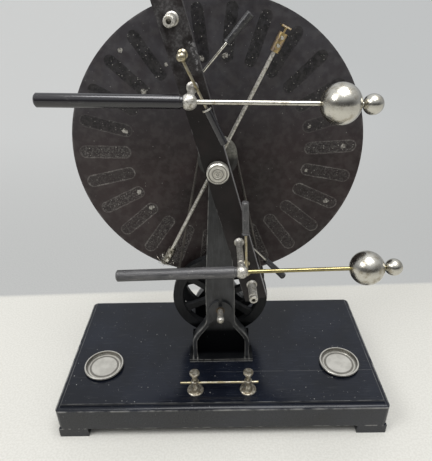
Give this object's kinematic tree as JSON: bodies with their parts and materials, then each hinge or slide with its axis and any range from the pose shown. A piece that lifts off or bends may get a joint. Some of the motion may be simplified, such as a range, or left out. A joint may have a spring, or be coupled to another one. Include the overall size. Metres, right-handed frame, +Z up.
{
  "type": "electrostatic influence machine",
  "caption": "Tabletop electrostatic influence machine: counter-turning ebonite plates belt-driven from a crank, with a tilting terminal arm, spark rods, neutralising rods and jar dishes.",
  "frame": {"origin": "on the floor under the middle of the base, in the mid-plane between the two plates", "axes": "+Z up; X runs to the right along the base; -Y is the side with the terminal arm and spark rods, +Y the side with the crank"},
  "size_m": [0.372, 0.25, 0.4519],
  "materials": {
    "ebonised_wood": "black gloss paint, dusty, worn pale at the edges",
    "black_iron": "black japanned casting",
    "aged_ebonite": "dull dark brown hard rubber",
    "polished_ebonite": "polished black hard rubber",
    "nickel": "aged nickel plate",
    "brass": "aged brass",
    "steel": "bright steel",
    "belt_cord": "dark round cord"
  },
  "bodies": {
    "machine_frame": {"base_board": "ebonised_wood", "foot_left": "ebonised_wood", "foot_right": "ebonised_wood", "foot_screws": "steel", "standard_bolts": "steel", "front_standard": "black_iron", "rear_standard": "black_iron", "shaft_bushes": "brass", "plate_axle": "steel", "hub_nut": "nickel", "axle_nut": "nickel", "front_belt": "belt_cord", "rear_belt": "belt_cord", "jar_dish_left": "nickel", "jar_dish_right": "nickel", "post_left": "nickel", "post_right": "nickel", "link_rod": "brass", "lead_straps": "brass", "lead_nuts": "brass"},
    "left_screw": {"thumbscrew_left": "nickel"},
    "right_screw": {"thumbscrew_right": "nickel"},
    "drive": {"drive_shaft": "steel", "front_wheel": "black_iron", "rear_wheel": "black_iron", "crank_arm": "black_iron", "crank_pin": "steel"},
    "grip": {"crank_grip": "ebonised_wood"},
    "front_turning_plate": {"front_plate": "aged_ebonite", "front_boss": "black_iron"},
    "rear_turning_plate": {"rear_plate": "aged_ebonite", "rear_boss": "black_iron"},
    "terminal_arm": {"arm_bar": "aged_ebonite", "arm_nuts": "brass", "socket_upper": "nickel", "socket_lower": "nickel", "lever_post_upper": "brass", "lever_post_lower": "brass", "spark_post_upper": "nickel", "spark_post_lower": "nickel"},
    "spark_rod_set_upper": {"spark_pivot_upper": "nickel", "spark_rod_upper": "nickel", "spark_grip_upper": "polished_ebonite", "spark_balls_upper": "nickel"},
    "spark_rod_set_lower": {"spark_pivot_lower": "nickel", "spark_rod_lower": "brass", "spark_grip_lower": "polished_ebonite", "spark_balls_lower": "nickel"},
    "front_lever_set_upper": {"front_lever_upper": "brass", "front_grip_upper": "polished_ebonite"},
    "front_lever_set_lower": {"front_lever_lower": "brass", "front_grip_lower": "polished_ebonite"},
    "back_lever_set_upper": {"back_lever_upper": "nickel", "back_grip_upper": "polished_ebonite"},
    "back_lever_set_lower": {"back_lever_lower": "nickel", "back_grip_lower": "polished_ebonite"},
    "front_neutraliser": {"front_neutral": "nickel", "front_brushes": "brass"},
    "rear_neutraliser": {"rear_neutral": "nickel", "rear_brushes": "brass"}
  },
  "joints": [
    {"name": "crank_turn", "type": "hinge", "parent": "machine_frame", "child": "drive", "pos_m": [0, 0, 0.124], "axis": [0, -1, 0], "continuous": true},
    {"name": "crank_grip_spin", "type": "hinge", "parent": "drive", "child": "grip", "pos_m": [0, 0.09, 0.062], "axis": [0, -1, 0], "continuous": true},
    {"name": "front_plate_spin", "type": "hinge", "parent": "machine_frame", "child": "front_turning_plate", "pos_m": [0, -0.0035, 0.297], "axis": [0, -1, 0], "continuous": true},
    {"name": "rear_plate_spin", "type": "hinge", "parent": "machine_frame", "child": "rear_turning_plate", "pos_m": [0, 0.0035, 0.297], "axis": [0, -1, 0], "continuous": true},
    {"name": "arm_tilt", "type": "hinge", "parent": "machine_frame", "child": "terminal_arm", "pos_m": [0, -0.05, 0.297], "axis": [0, -1, 0], "range_deg": [-2, 150]},
    {"name": "spark_rod_upper_swing", "type": "hinge", "parent": "terminal_arm", "child": "spark_rod_set_upper", "pos_m": [-0.02056, -0.109, 0.37483], "axis": [0, -1, 0], "range_deg": [-30, 45]},
    {"name": "spark_rod_lower_swing", "type": "hinge", "parent": "terminal_arm", "child": "spark_rod_set_lower", "pos_m": [0.02056, -0.109, 0.21917], "axis": [0, -1, 0], "range_deg": [-45, 30]},
    {"name": "front_lever_upper_swing", "type": "hinge", "parent": "terminal_arm", "child": "front_lever_set_upper", "pos_m": [-0.02759, -0.071, 0.40142], "axis": [0, -1, 0], "range_deg": [0, 150]},
    {"name": "front_lever_lower_swing", "type": "hinge", "parent": "terminal_arm", "child": "front_lever_set_lower", "pos_m": [0.02759, -0.071, 0.19258], "axis": [0, -1, 0], "range_deg": [-150, 2]},
    {"name": "back_lever_upper_swing", "type": "hinge", "parent": "terminal_arm", "child": "back_lever_set_upper", "pos_m": [-0.02056, -0.039, 0.37483], "axis": [0, -1, 0], "range_deg": [-60, 40]},
    {"name": "back_lever_lower_swing", "type": "hinge", "parent": "terminal_arm", "child": "back_lever_set_lower", "pos_m": [0.02056, -0.039, 0.21917], "axis": [0, -1, 0], "range_deg": [-13, 90]},
    {"name": "front_neutraliser_turn", "type": "hinge", "parent": "machine_frame", "child": "front_neutraliser", "pos_m": [0, -0.026, 0.297], "axis": [0, -1, 0], "range_deg": [-30, 2]},
    {"name": "rear_neutraliser_turn", "type": "hinge", "parent": "machine_frame", "child": "rear_neutraliser", "pos_m": [0, 0.026, 0.297], "axis": [0, -1, 0], "range_deg": [-2, 30]},
    {"name": "thumbscrew_left_turn", "type": "hinge", "parent": "machine_frame", "child": "left_screw", "pos_m": [-0.03, -0.093, 0.066], "axis": [0, 0, 1], "range_deg": [0, 360]},
    {"name": "thumbscrew_right_turn", "type": "hinge", "parent": "machine_frame", "child": "right_screw", "pos_m": [0.03, -0.093, 0.066], "axis": [0, 0, 1], "range_deg": [0, 360]}
  ],
  "couplings": [
    {"joint": "front_plate_spin", "follows": "crank_turn", "ratio": 2.88},
    {"joint": "rear_plate_spin", "follows": "crank_turn", "ratio": -2.88}
  ]
}
